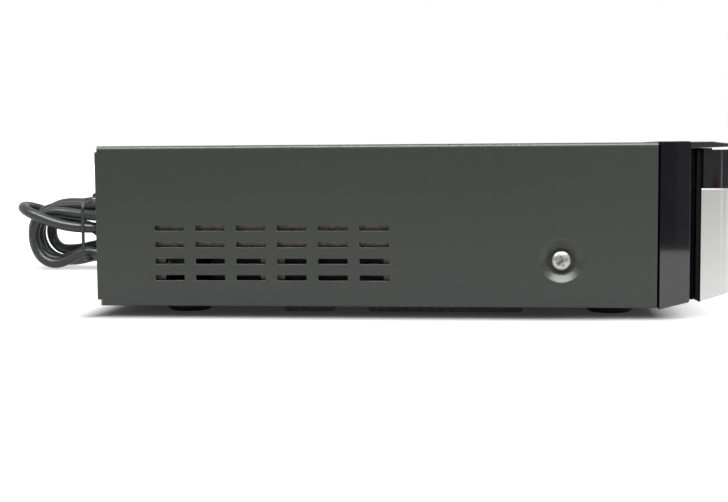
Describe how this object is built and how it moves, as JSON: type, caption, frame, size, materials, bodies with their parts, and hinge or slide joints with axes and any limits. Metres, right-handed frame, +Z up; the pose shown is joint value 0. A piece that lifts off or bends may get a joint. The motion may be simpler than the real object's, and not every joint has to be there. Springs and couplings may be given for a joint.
{
  "type": "blu-ray recorder",
  "caption": "Low wide disc recorder with a painted steel cover, gloss black and silver front, motor-driven disc tray, hard disc, drop-down control flap and a tied hank of mains cord.",
  "frame": {"origin": "centre of the bounding box's base, without the cord", "axes": "+Z up, -Y towards the front of the recorder, +X to the right as seen from the front"},
  "size_m": [0.43, 0.3406, 0.0643],
  "materials": {
    "grained_paint": "fine grained matt",
    "steel": "bare sheet steel",
    "screw_steel": "plated",
    "gloss_black": "piano gloss",
    "matt_black": "fine matt",
    "silver_plastic": "metallic paint, satin",
    "smoked_glass": "smoked clear plastic",
    "rubber": "matt",
    "circuit_board": "solder mask",
    "white_plastic": "moulded",
    "cast_metal": "cast",
    "cord_black": "satin vinyl",
    "platter_mirror": "polished",
    "tie_wire": "coated wire"
  },
  "bodies": {
    "case": {"top_cover": "grained_paint", "cover_side_screws": "screw_steel", "rear_screws": "screw_steel", "chassis_base": "steel", "feet": "rubber", "rear_panel": "steel", "front_bezel": "gloss_black", "top_lip": "gloss_black", "fascia_frame": "matt_black", "fascia_shell": "silver_plastic", "smoked_window": "smoked_glass", "display_module": "circuit_board", "power_switch_board": "circuit_board", "control_board": "circuit_board", "control_panel": "matt_black", "drive_bracket": "steel", "drive_chassis": "matt_black", "drive_cover": "steel", "loading_motor": "steel", "drive_belt": "rubber", "hard_disk_base": "cast_metal", "hard_disk_cover": "steel", "main_board": "circuit_board", "power_board": "circuit_board", "board_screws": "screw_steel", "fan_frame": "matt_black", "tuner": "steel", "av_jacks": "matt_black", "hdmi_socket": "steel", "lan_socket": "matt_black", "ac_inlet": "matt_black", "cord_connector": "cord_black", "mains_cord": "cord_black", "cord_hank": "cord_black", "cord_tail": "cord_black", "cord_tie": "tie_wire", "mains_plug": "cord_black"},
    "traverse": {"traverse_frame": "matt_black", "guide_rods": "steel", "spindle_motor": "steel", "sled_motor": "steel"},
    "turntable": {"turntable": "matt_black"},
    "clamper": {"clamper": "white_plastic"},
    "sled": {"pickup_sled": "cast_metal"},
    "lead_screw": {"lead_screw": "steel"},
    "tray": {"disc_tray": "matt_black", "tray_lid": "silver_plastic"},
    "loading_gear": {"loading_gear": "white_plastic"},
    "pulley_gear": {"pulley_gear": "white_plastic"},
    "motor_pulley": {"motor_pulley": "white_plastic"},
    "platters": {"hard_disk_platters": "platter_mirror"},
    "actuator": {"hard_disk_actuator": "cast_metal"},
    "fan_rotor": {"fan_rotor": "matt_black"},
    "flap": {"control_flap": "silver_plastic"},
    "power_button": {"power_button": "silver_plastic"},
    "eject_button": {"eject_button": "silver_plastic"},
    "stop_button": {"stop_button": "matt_black"},
    "play_button": {"play_button": "matt_black"},
    "record_button": {"record_button": "matt_black"},
    "channel_button": {"channel_button": "matt_black"}
  },
  "joints": [
    {"name": "tray_slide", "type": "slide", "parent": "case", "child": "tray", "axis": [0, -1, 0], "range_m": [0, 0.145]},
    {"name": "loading_gear_spin", "type": "hinge", "parent": "case", "child": "loading_gear", "pos_m": [-0.0715, -0.0755, 0.031], "axis": [0, 0, 1], "range_deg": [0, 831.29]},
    {"name": "pulley_gear_spin", "type": "hinge", "parent": "case", "child": "pulley_gear", "pos_m": [-0.0531, -0.0755, 0.0276], "axis": [0, 0, 1], "range_deg": [-2354.4, 0]},
    {"name": "motor_pulley_spin", "type": "hinge", "parent": "case", "child": "motor_pulley", "pos_m": [-0.0095, -0.0755, 0.0276], "axis": [0, 0, 1], "range_deg": [-7616.06, 0]},
    {"name": "traverse_tilt", "type": "hinge", "parent": "case", "child": "traverse", "pos_m": [-0.023, 0.055, 0.032], "axis": [1, 0, 0], "range_deg": [0, 4.1]},
    {"name": "turntable_spin", "type": "hinge", "parent": "traverse", "child": "turntable", "pos_m": [-0.023, -0.035, 0.0404], "axis": [0, 0, 1], "continuous": true},
    {"name": "clamper_spin", "type": "hinge", "parent": "case", "child": "clamper", "pos_m": [-0.023, -0.035, 0.0477], "axis": [0, 0, 1], "continuous": true},
    {"name": "sled_slide", "type": "slide", "parent": "traverse", "child": "sled", "axis": [0, 1, 0], "range_m": [0, 0.033]},
    {"name": "lead_screw_spin", "type": "hinge", "parent": "traverse", "child": "lead_screw", "pos_m": [-0.0515, -0.035, 0.0362], "axis": [0, 1, 0], "range_deg": [0, 3960.5]},
    {"name": "platter_spin", "type": "hinge", "parent": "case", "child": "platters", "pos_m": [-0.1562, -0.0233, 0.01], "axis": [0, 0, 1], "continuous": true},
    {"name": "actuator_swing", "type": "hinge", "parent": "case", "child": "actuator", "pos_m": [-0.1342, 0.0352, 0.01], "axis": [0, 0, 1], "range_deg": [-24, 4]},
    {"name": "fan_spin", "type": "hinge", "parent": "case", "child": "fan_rotor", "pos_m": [0.105, 0.1064, 0.035], "axis": [0, 1, 0], "continuous": true},
    {"name": "flap_hinge", "type": "hinge", "parent": "case", "child": "flap", "pos_m": [0.0844, -0.1192, 0.0136], "axis": [1, 0, 0], "range_deg": [0, 85]},
    {"name": "power_button_press", "type": "slide", "parent": "case", "child": "power_button", "axis": [0, 1, 0], "range_m": [0, 0.001], "stiffness_N_per_m": 400},
    {"name": "eject_button_press", "type": "slide", "parent": "case", "child": "eject_button", "axis": [0, 1, 0], "range_m": [0, 0.001], "stiffness_N_per_m": 400},
    {"name": "stop_button_press", "type": "slide", "parent": "case", "child": "stop_button", "axis": [0, 1, 0], "range_m": [0, 0.0008], "stiffness_N_per_m": 400},
    {"name": "play_button_press", "type": "slide", "parent": "case", "child": "play_button", "axis": [0, 1, 0], "range_m": [0, 0.0008], "stiffness_N_per_m": 400},
    {"name": "record_button_press", "type": "slide", "parent": "case", "child": "record_button", "axis": [0, 1, 0], "range_m": [0, 0.0008], "stiffness_N_per_m": 400},
    {"name": "channel_button_press", "type": "slide", "parent": "case", "child": "channel_button", "axis": [0, 1, 0], "range_m": [0, 0.0008], "stiffness_N_per_m": 400}
  ],
  "couplings": [
    {"joint": "loading_gear_spin", "follows": "tray_slide", "rad_per_m": 100},
    {"joint": "pulley_gear_spin", "follows": "tray_slide", "rad_per_m": -283.33},
    {"joint": "motor_pulley_spin", "follows": "tray_slide", "rad_per_m": -916.67},
    {"joint": "traverse_tilt", "follows": "tray_slide", "rad_per_m": 0.48147},
    {"joint": "clamper_spin", "follows": "turntable_spin", "ratio": 1},
    {"joint": "lead_screw_spin", "follows": "sled_slide", "rad_per_m": 2094.4}
  ]
}
